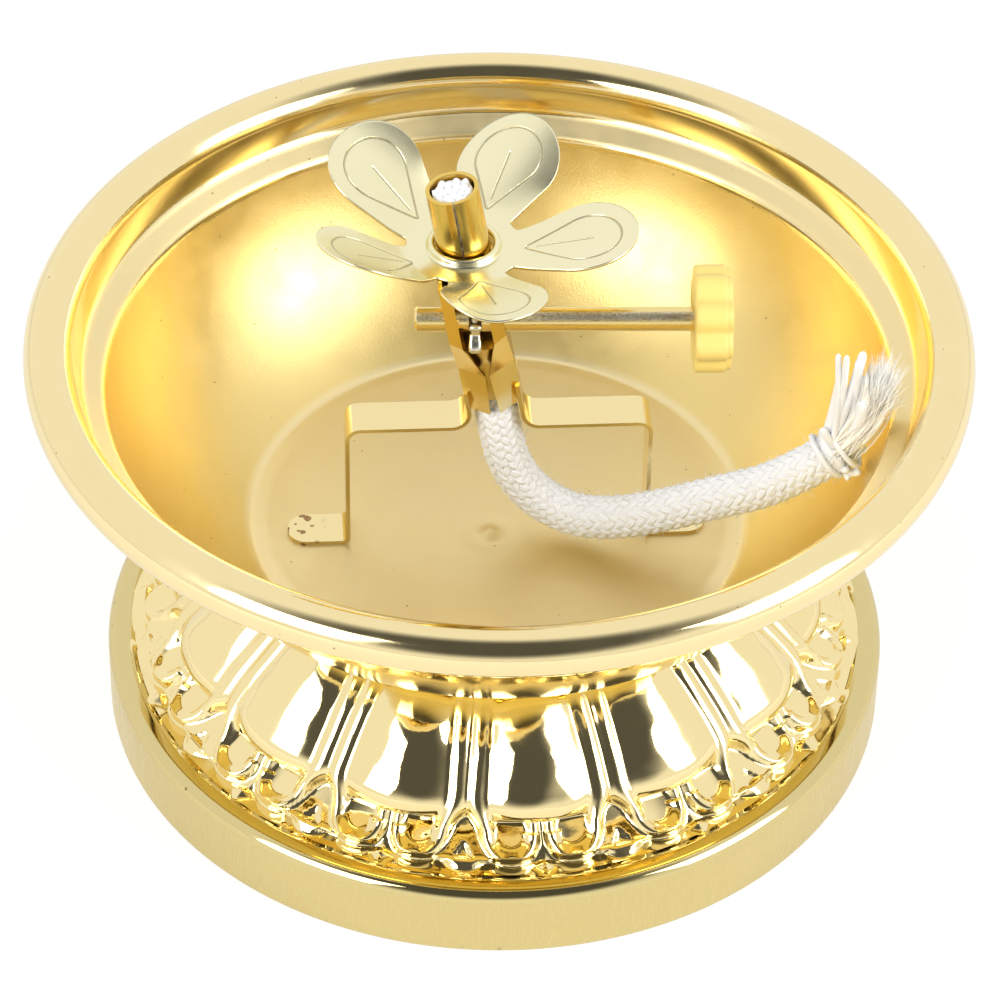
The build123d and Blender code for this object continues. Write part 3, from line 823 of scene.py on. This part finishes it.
# %% Axes of the stem and the rod
stem_origin = np.array([-0.5985, -2.3419, 49.0])
stem_up = np.array([-0.164646, -0.011513, 0.986286])
stem_side = np.array([0.983883, 0.068799, 0.165048])
stem_back = np.cross(stem_up, stem_side)
spindle_origin = np.array([-3.018889, -8.425506, 65.964119])
rod_axis = np.array([0.99950656, 0.03141076, 0])
rod_side = np.array([-0.03141076, 0.99950656, 0])
rod_up = np.array([0, 0, 1.0])
bore_radius = 1.52


def stem_points(side, back, level):
    """Points in millimetres by their place in the stem: across it, behind its middle and up it."""
    flat = stem_origin + side[..., None] * stem_side + back[..., None] * stem_back
    return flat + level[..., None] * stem_up


def rod_grid(stations, radii, turn):
    """Rings round the rod in metres, with a radius at each station along it and at each turn."""
    along = stations[:, None, None] * rod_axis
    return (spindle_origin + along + radii[..., None] * circle(turn, rod_side, rod_up)) * MM


# %% Folded lip inside the stem
fold_level = np.array([1.2, 1.2, 4.0, 7.0, 9.0, 11.0, 12.2, 13.2, 14.4, 15.0, 15.0])
fold_front = np.interp(fold_level, [0, 7, 12.2, 13.2, 14.4, 15.0], [2.1, 3.2, 5.9, 4.1, 2.45, 2.05])
fold_half = np.interp(fold_level, [0, 7, 15.5], [1.2, 0.5, 3.8]) / 2 + 0.45
fold_half[[0, -1]] = 0
corner_side = np.array([-1, 1, 1, -1]) * fold_half[:, None]
corner_front = fold_front[:, None] - np.array([0, 0, 0.3, 0.3]) * (fold_half[:, None] > 0)
stem_fold = grid_object("stem_fold", stem_points(corner_side, -corner_front, fold_level[:, None]) * MM)
stem_fold.data.set_sharp_from_angle(angle=math.radians(30))
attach(stem_fold, "lamp")

# %% Holder finish: polished strip, burnt at the weld
finish = Finish("holder_gold", metallic=1.0)
grain = finish.effect(satin_grain, Scale=1200.0)
scorch = finish.effect(wear_and_glint_specks, Scale=700.0, Amount=0.75)
axes = finish.axes()
on_left_tab = finish.map(axes["X"], -24.0 * MM, -21.0 * MM, 1.0, 0.0)
near_floor = finish.map(axes["Z"], 28.4 * MM, 28.8 * MM, 1.0, 0.0)
at_weld = finish.math("MULTIPLY", on_left_tab, near_floor)
burnt = finish.math("MULTIPLY", at_weld, scorch["Mask"])
finish.wire("Roughness", finish.map(grain["Cloud"], 0.35, 0.65, 0.12, 0.22))
pale_strip = finish.mix(grain["Cloud"], (0.88, 0.72, 0.36, 1), (0.91, 0.76, 0.41, 1))
on_stem = finish.map(axes["Z"], 50.0 * MM, 53.0 * MM)
strip_tint = finish.mix(on_stem, pale_strip, (0.82, 0.58, 0.15, 1))
finish.wire("Base Color", finish.mix(burnt, strip_tint, (0.34, 0.20, 0.09, 1)))
finish.bump(grain["Height"], 0.01 * MM)
frame["nodes"]["wick_holder"].data.materials.clear()
finish.cover(frame["nodes"]["wick_holder"], stem_fold)

# %% Rod finish: drawn metal with a painted reflection, a dark line with pale specks
finish = Finish("rod_gold", metallic=1.0)
specks = finish.effect(wear_and_glint_specks, Scale=7000.0, Amount=1.0)
# The line runs along the side of the rod turned up towards the camera. Its darker gold is a painted
# reflection of the dark room, and the pale specks on it are bumped marks whose light colour is a painted
# glint.
line_way = (0.0188, -0.6, 0.8)
line_reach = finish.dot(finish.place, line_way)
axis_reach = float(np.dot(spindle_origin, line_way)) * MM
painted_reflection_band = finish.map(line_reach, axis_reach + 1.36 * MM, axis_reach + 1.46 * MM)
speck_glints = finish.math("MULTIPLY", painted_reflection_band, specks["Mask"])
finish.wire("Roughness", finish.map(painted_reflection_band, 0.0, 1.0, 0.2, 0.34))
wear_and_painted_reflection = finish.mix(painted_reflection_band, (0.88, 0.70, 0.30, 1), (0.60, 0.48, 0.24, 1))
finish.wire("Base Color", finish.mix(speck_glints, wear_and_painted_reflection, (0.95, 0.91, 0.78, 1)))
finish.bump(speck_glints, 0.02 * MM)
frame["nodes"]["spindle"].data.materials.clear()
finish.cover(frame["nodes"]["spindle"])

# %% Star wheel
star_turn = full_turn(180)
point_share = 0.5 + 0.5 * np.cos(6 * (star_turn - np.radians(37)))
star_outline = 2.4 + 1.85 * point_share**1.6
star_edge = star_outline - 0.25
star_bore = np.full(len(star_turn), bore_radius)
star_radii = np.stack([star_bore, star_edge, star_outline, star_outline, star_edge, star_bore])
star_stations = np.array([-0.75, -0.75, -0.4, 0.4, 0.75, 0.75])
star_wheel = grid_object("star_wheel", rod_grid(star_stations, star_radii, star_turn), wrap_rows=True)
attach(star_wheel, "feed")
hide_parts("feed_wheel")

finish = Finish("wheel_steel", metallic=1.0)
grain = finish.effect(satin_grain, Scale=3000.0)
finish.wire("Roughness", finish.map(grain["Cloud"], 0.3, 0.7, 0.15, 0.3))
finish.wire("Base Color", (0.78, 0.74, 0.62, 1))
finish.bump(grain["Height"], 0.02 * MM)
finish.cover(star_wheel)

# %% [markdown]
# ## Knob
#
# The knob is a soft yellow moulding with eight rounded lobes and a thin step at its outer face. Its outline
# is carried along the rod's axis, drawn in at the edges.

# %% Knob surface
knob_turn = full_turn(320)
lobe_angle = (knob_turn - np.radians(138.4) + np.pi / 8) % (np.pi / 4) - np.pi / 8
lobe_reach = circle_reach(lobe_angle, 4.6, 1.9)
knob_outline = np.log(np.exp(6 * lobe_reach) + np.exp(6 * 5.6)) / 6
side_stations = [26.1, 26.1, 26.18, 26.45, 26.8, 29.3, 29.75, 29.95, 30.0, 30.05, 30.4, 30.55, 30.6, 30.6]
side_insets = np.array([1.0, 0.45, 0.2, 0.04, 0.0, 0.0, 0.04, 0.16, 0.3, 0.34, 0.36, 0.5, 0.8, 2.2])
side_radii = np.minimum(knob_outline - 0.02 - side_insets[:, None], 6.48)
knob_bore = np.full(len(knob_turn), bore_radius)
knob_middle = np.zeros(len(knob_turn))
knob_stations = np.concatenate([[26.1], side_stations, [30.6, 29.7, 29.7]])
knob_radii = np.vstack([knob_bore, side_radii, knob_middle, knob_middle, knob_bore])
knob = grid_object("knob_moulding", rod_grid(knob_stations, knob_radii, knob_turn), wrap_rows=True)
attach(knob, "feed")
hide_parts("knob")

# %% Knob finish: soft yellow moulding
finish = Finish("knob_yellow")
grain = finish.effect(satin_grain, Scale=700.0)
finish.wire("Base Color", finish.mix(grain["Cloud"], (0.86, 0.64, 0.16, 1), (0.90, 0.70, 0.22, 1)))
finish.wire("Roughness", finish.map(grain["Cloud"], 0.3, 0.7, 0.34, 0.46))
finish.wire("Subsurface Weight", 0.1)
finish.wire("Subsurface Radius", (2.0 * MM, 1.2 * MM, 0.4 * MM))
finish.bump(grain["Height"], 0.01 * MM)
finish.cover(knob)

# %% [markdown]
# ## The wick in the tube and its frayed end
#
# The braid goes on inside the stem, where the winder moves it, over a filling and up to a cut top. A short
# stretch of braid joins the two parts. At the far end the braid comes apart: a few
# whole yarns stand up, finer fibres spread as a brush, and a loose thread is wound round the braid's end.

# %% Wick in the stem


def stem_line(low, high, count):
    """Points up the middle of the stem between two levels, in metres, and their distances."""
    level = np.linspace(low, high, count)
    return (stem_origin + level[:, None] * stem_up) * MM, (level - low) * MM


def behind_wheel(points, inset):
    """Points pushed back to a limit in front, which lies close to the axis where the wheel presses."""
    level = (points - stem_origin * MM) @ stem_up / MM
    limit = (inset - 1.3 - 1.25 * smoothstep(22.0, 24.8, level)) * MM
    forward = (points - stem_origin * MM) @ stem_back
    return points + np.maximum(limit - forward, 0)[..., None] * stem_back


def core_braid(line, along):
    """Yarns of the wick inside the stem, where the braid is drawn tighter than outside."""
    return braid_grids(
        line,
        along,
        radius=1.72 * MM,
        pitch=20 * MM,
        per_way=12,
        half_width=0.5 * MM,
        half_thick=0.34 * MM,
        weave=0.22 * MM,
    )


def in_tube(level):
    """Share of the way from the open stem into the tube, by the level up the stem."""
    return smoothstep(21.0, 23.0, level)


core_low = 4.9
core_high = 32.0
core_rows = 110
core_line, core_along = stem_line(core_low, core_high, core_rows)
core_yarns = core_braid(core_line, core_along)
yarn_level = (core_yarns - stem_origin * MM) @ stem_up
yarn_axis = stem_origin * MM + yarn_level[..., None] * stem_up
tube_swell = 1 + 0.11 * in_tube(yarn_level / MM)
core_yarns = behind_wheel(yarn_axis + (core_yarns - yarn_axis) * tube_swell[..., None], 0.0)
wick_core = grid_object("wick_core_braid", core_yarns, attributes=braid_attributes(core_yarns, core_along))
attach(wick_core, "wick")
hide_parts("wick_core")

core_radii = (1.7 + 0.2 * in_tube(np.linspace(core_low, core_high, core_rows))) * MM
core_tube = tube_grid(core_line, *line_frames(core_line), core_radii, 48)
core_filling = grid_object("wick_core_filling", behind_wheel(core_tube, 0.25))
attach(core_filling, "wick")

top_turn = full_turn(72)
top_reach = np.concatenate([np.linspace(0, 2.4, 26), [2.42, 2.44, 2.44, 0]])
top_level = np.concatenate([np.full(26, 31.95), [31.85, 31.7, 31.2, 31.2]])
stub_count = 19
golden_turn = 2.39996
stub_turn = np.arange(stub_count) * golden_turn
stub_reach = 2.35 * np.sqrt((np.arange(stub_count) + 0.3) / stub_count)
top_x = top_reach[:, None] * np.cos(top_turn)
top_y = top_reach[:, None] * np.sin(top_turn)
stub_x = stub_reach * np.cos(stub_turn)
stub_y = stub_reach * np.sin(stub_turn)
stub_away = np.hypot(top_x[..., None] - stub_x, top_y[..., None] - stub_y).min(axis=-1)
stub_rise = 0.65 * np.clip(1 - (stub_away / 0.62) ** 2, 0, 1) * (top_level[:, None] > 31.9)
wick_top = grid_object("wick_top", stem_points(top_x, top_y, top_level[:, None] + stub_rise) * MM)
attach(wick_top, "wick")

link_line, link_along = stem_line(-0.9, 5.6, 30)
link_yarns = core_braid(link_line, link_along)
wick_link = grid_object("wick_link", link_yarns, attributes=braid_attributes(link_yarns, link_along))
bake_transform(wick_link)

# %% Frayed end
chance = np.random.default_rng(7)
fray_start = tail_points[-1]
fray_way = unit(tail_points[-1] - tail_points[-6])
tuft_mid = np.array([44.9, -7.9, 51.6]) * MM


def fibre_grids(starts, middles, ends, radii, samples, sides, blunt=4):
    """Fibres as thin tubes along quadratic curves from start by middle to end, drawn in at the end."""
    share = np.linspace(0, 1, samples)[None, :, None]
    line = quadratic(starts[:, None], middles[:, None], ends[:, None], share)
    along = unit(np.gradient(line, axis=1))
    side = unit(np.cross(along, np.array([0.3, 1.0, 0.2])))
    ring = circle(full_turn(sides), side[:, :, None], np.cross(along, side)[:, :, None])
    thinning = np.sqrt(np.clip(1 - np.linspace(0, 1, samples) ** blunt, 0, 1))
    thinning[0] = 0
    size = radii[:, None, None, None] * thinning[None, :, None, None]
    return line[:, :, None] + size * ring


def scatter(count, spread):
    """Random offsets in all directions, in metres."""
    return chance.normal(0, spread, (count, 3)) * MM


brush_tip = np.array([46.6, -7.6, 57.0]) * MM
brush_count = 1300
thick_count = 60
brush_starts = fray_start - fray_way * 1.2 * MM + scatter(brush_count, 1.0)
brush_ends = brush_tip + scatter(brush_count, 1.2) * np.array([1.0, 1.1, 1.5])
brush_middles = tuft_mid + scatter(brush_count, 1.0) + np.array([0.6, 0, -0.8]) * MM
brush_radii = np.where(np.arange(brush_count) < thick_count, 0.42, 0.06) * MM
brush_ends[:thick_count] = (brush_middles + 0.75 * (brush_ends - brush_middles))[:thick_count]
brush = fibre_grids(brush_starts, brush_middles, brush_ends, brush_radii, 9, 5)
wick_brush = grid_object("wick_brush", brush)

yarn_ends = MM * np.array(
    [
        [(40.7, -7.6, 61.0), (41.7, -8.2, 61.3)],
        [(43.8, -7.2, 61.1), (43.2, -8.0, 60.3)],
        [(41.6, -6.6, 57.6), (44.0, -6.8, 56.6)],
        [(45.2, -7.8, 55.0), (44.2, -8.8, 54.6)],
        [(45.6, -6.2, 53.2), (44.4, -9.0, 43.6)],
        [(45.0, -7.6, 45.8), (43.2, -9.3, 42.5)],
        [(42.6, -10.0, 44.6), (39.4, -7.9, 49.4)],
    ]
).reshape(-1, 3)
yarn_count = len(yarn_ends)
yarn_starts = fray_start - fray_way * 1.5 * MM + scatter(yarn_count, 0.9)
yarn_middles = (yarn_starts + yarn_ends) / 2 + scatter(yarn_count, 0.5) + np.array([0.9, 0, -1.2]) * MM
yarn_radii = np.array([0.42, 0.42, 0.6, 0.55, 0.7, 0.85, 0.9, 0.8, 0.8, 0.5, 0.5, 0.45, 0.45, 0.5]) * MM
yarns = fibre_grids(yarn_starts, yarn_middles, yarn_ends, yarn_radii, 40, 10, blunt=40)
wick_yarns = grid_object("wick_loose_yarns", yarns)

fuzz_count = 1500
fuzz_row = chance.integers(8, len(tail_points) - 4, fuzz_count)
fuzz_turn = chance.uniform(0, 2 * np.pi, fuzz_count)
fuzz_out = circle(fuzz_turn, tail_across[fuzz_row], tail_up[fuzz_row])
fuzz_starts = tail_points[fuzz_row] + 2.4 * MM * fuzz_out
fuzz_middles = fuzz_starts + 0.45 * MM * fuzz_out + scatter(fuzz_count, 0.25)
fuzz_ends = fuzz_starts + 0.5 * MM * fuzz_out + scatter(fuzz_count, 0.55)
fuzz_radii = np.full(fuzz_count, 0.022 * MM)
wick_fuzz = grid_object("wick_fuzz", fibre_grids(fuzz_starts, fuzz_middles, fuzz_ends, fuzz_radii, 5, 3))

wind = np.linspace(0, 1, 160)
wind_turns = 3.4
wind_ring = circle(2 * np.pi * wind_turns * wind, tail_across[-1], tail_up[-1])
wind_radius = (2.75 + 0.3 * np.sin(9.7 * wind) + 0.2 * np.sin(23 * wind)) * MM
down_wick = fray_way * ((wind - 0.62)[:, None] * 4.2 * MM)
wind_line = fray_start + down_wick + wind_radius[:, None] * wind_ring
wind_along = unit(np.gradient(wind_line, axis=0))
wind_out = unit(np.cross(wind_along, fray_way))
binding_grid = tube_grid(wind_line, wind_out, np.cross(wind_along, wind_out), 0.36 * MM, 8)
wick_binding = grid_object("wick_binding", binding_grid)
for piece in (wick_brush, wick_yarns, wick_fuzz, wick_binding):
    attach(piece, "lamp")
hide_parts("wick_tuft")

# %% Cotton finishes
finish = Finish("wick_cotton")
around = finish.attribute("around")
half_along = finish.math("MULTIPLY", finish.attribute("along"), 0.5)
yarn_place = finish.add("ShaderNodeCombineXYZ", {0: half_along, 1: around}).outputs[0]
fibre = finish.noise(yarn_place, 3.0, 4.0)
fluff = finish.noise(finish.place, 3500.0, 3.0)
ply = finish.math("ABSOLUTE", finish.math("SINE", finish.math("MULTIPLY", around, 6.7)))
strands = finish.math("ADD", fibre, finish.math("MULTIPLY", ply, 0.9))
cotton_height = finish.math("ADD", strands, finish.math("MULTIPLY", fluff, 0.5))
finish.wire("Base Color", finish.mix(fibre, (0.87, 0.89, 0.93, 1), (0.91, 0.93, 0.96, 1)))
finish.wire("Roughness", 0.9)
finish.wire("Sheen Weight", 0.25)
finish.bump(cotton_height, 0.06 * MM)
finish.cover(wick_tail, wick_filling, wick_core, core_filling, wick_top, wick_link)
finish.cover(wick_yarns, wick_fuzz, wick_binding)

finish = Finish("brush_cotton_painted_bright")
fluff = finish.noise(finish.place, 900.0, 3.0)
# A paler, creamier copy of the cotton: its extra brightness is painted light that makes up for the shade the
# thin fibres cast on one another.
finish.wire("Base Color", finish.mix(fluff, (0.97, 0.95, 0.88, 1), (0.99, 0.98, 0.94, 1)))
finish.wire("Roughness", 0.85)
finish.wire("Sheen Weight", 0.2)
finish.cover(wick_brush)

# %% [markdown]
# ## Studio
#
# The photograph was taken on white, between two large soft lamps, with the darker room behind the camera.
# Polished gold shows its surroundings, so they are part of the look: a white floor, a white room with one
# dark part, and the two lamps.

# %% Floor
floor_size = 3.0
floor_square = np.array([[(-1, -1, 0), (1, -1, 0)], [(-1, 1, 0), (1, 1, 0)]])
floor_corners = floor_square * floor_size - (0, 0, 0.02 * MM)
floor = grid_object("studio_floor", floor_corners, wrap_columns=False)
finish = Finish("floor_white")
finish.tree.nodes.remove(finish.shader)
rays = finish.add("ShaderNodeLightPath").outputs
mirrored = finish.math("MAXIMUM", rays["Is Glossy Ray"], rays["Is Transmission Ray"])


def paper(grey, strength):
    """White paper as a diffuse part, which takes the shadow, and a glow."""
    lit = finish.add("ShaderNodeBsdfDiffuse", {"Color": (grey, grey, grey, 1)}).outputs[0]
    glow = finish.add("ShaderNodeEmission", {"Color": (1, 1, 1, 1), "Strength": strength}).outputs[0]
    return finish.add("ShaderNodeAddShader", {0: lit, 1: glow}).outputs[0]


def mix_shaders(share, first, second):
    """Shader between two shaders, by a share."""
    return finish.add("ShaderNodeMixShader", {0: share, 1: first, 2: second}).outputs[0]


unseen = mix_shaders(mirrored, paper(0.8, 0.0), paper(0.62, 0.34))
surface = mix_shaders(rays["Is Camera Ray"], unseen, paper(0.3, 0.74))
finish.fill(finish.tree.nodes["Material Output"].inputs["Surface"], surface)
finish.cover(floor)

# %% Room: white, with a dark part high behind the camera
world = bpy.data.worlds.new("studio_room")
scene.world = world
world.use_nodes = True
room = Nodes(world.node_tree)
dark_rise = math.radians(52)
dark_way = (0, -math.cos(dark_rise), math.sin(dark_rise))
dark_edge = math.cos(math.radians(50))
dark_core = math.cos(math.radians(22))
room_light = 1.0
dark_light = 0.1
fill_light = 0.7
towards_dark = room.dot(room.add("ShaderNodeTexCoord").outputs["Generated"], dark_way)
seen_light = room.map(towards_dark, dark_edge, dark_core, room_light, dark_light)
rays = room.add("ShaderNodeLightPath").outputs
light = room.add("ShaderNodeMix", {0: rays["Is Diffuse Ray"], 2: seen_light, 3: fill_light}).outputs[0]
background = world.node_tree.nodes["Background"].inputs
room.fill(background["Strength"], light)
room.fill(background["Color"], (1, 1, 1, 1))

# %% Two soft lamps that face the object, by azimuth and elevation
lamp_distance = 0.9
lamp_width = 0.5
lamp_height = 0.55
lamp_power = 4.6
for name, azimuth, elevation in (("softbox_left", -136, 30), ("softbox_right", -24, 28)):
    light = bpy.data.lights.new(name, "AREA")
    light.shape = "RECTANGLE"
    light.size = lamp_width
    light.size_y = lamp_height
    light.energy = lamp_power
    lamp = bpy.data.objects.new(name, light)
    scene.collection.objects.link(lamp)
    turn = math.radians(azimuth)
    rise = math.radians(elevation)
    away = Vector((math.cos(rise) * math.cos(turn), math.cos(rise) * math.sin(turn), math.sin(rise)))
    facing = away.to_track_quat("Z", "Y").to_matrix().to_4x4()
    lamp.matrix_world = Matrix.Translation(camera_target + away * lamp_distance) @ facing
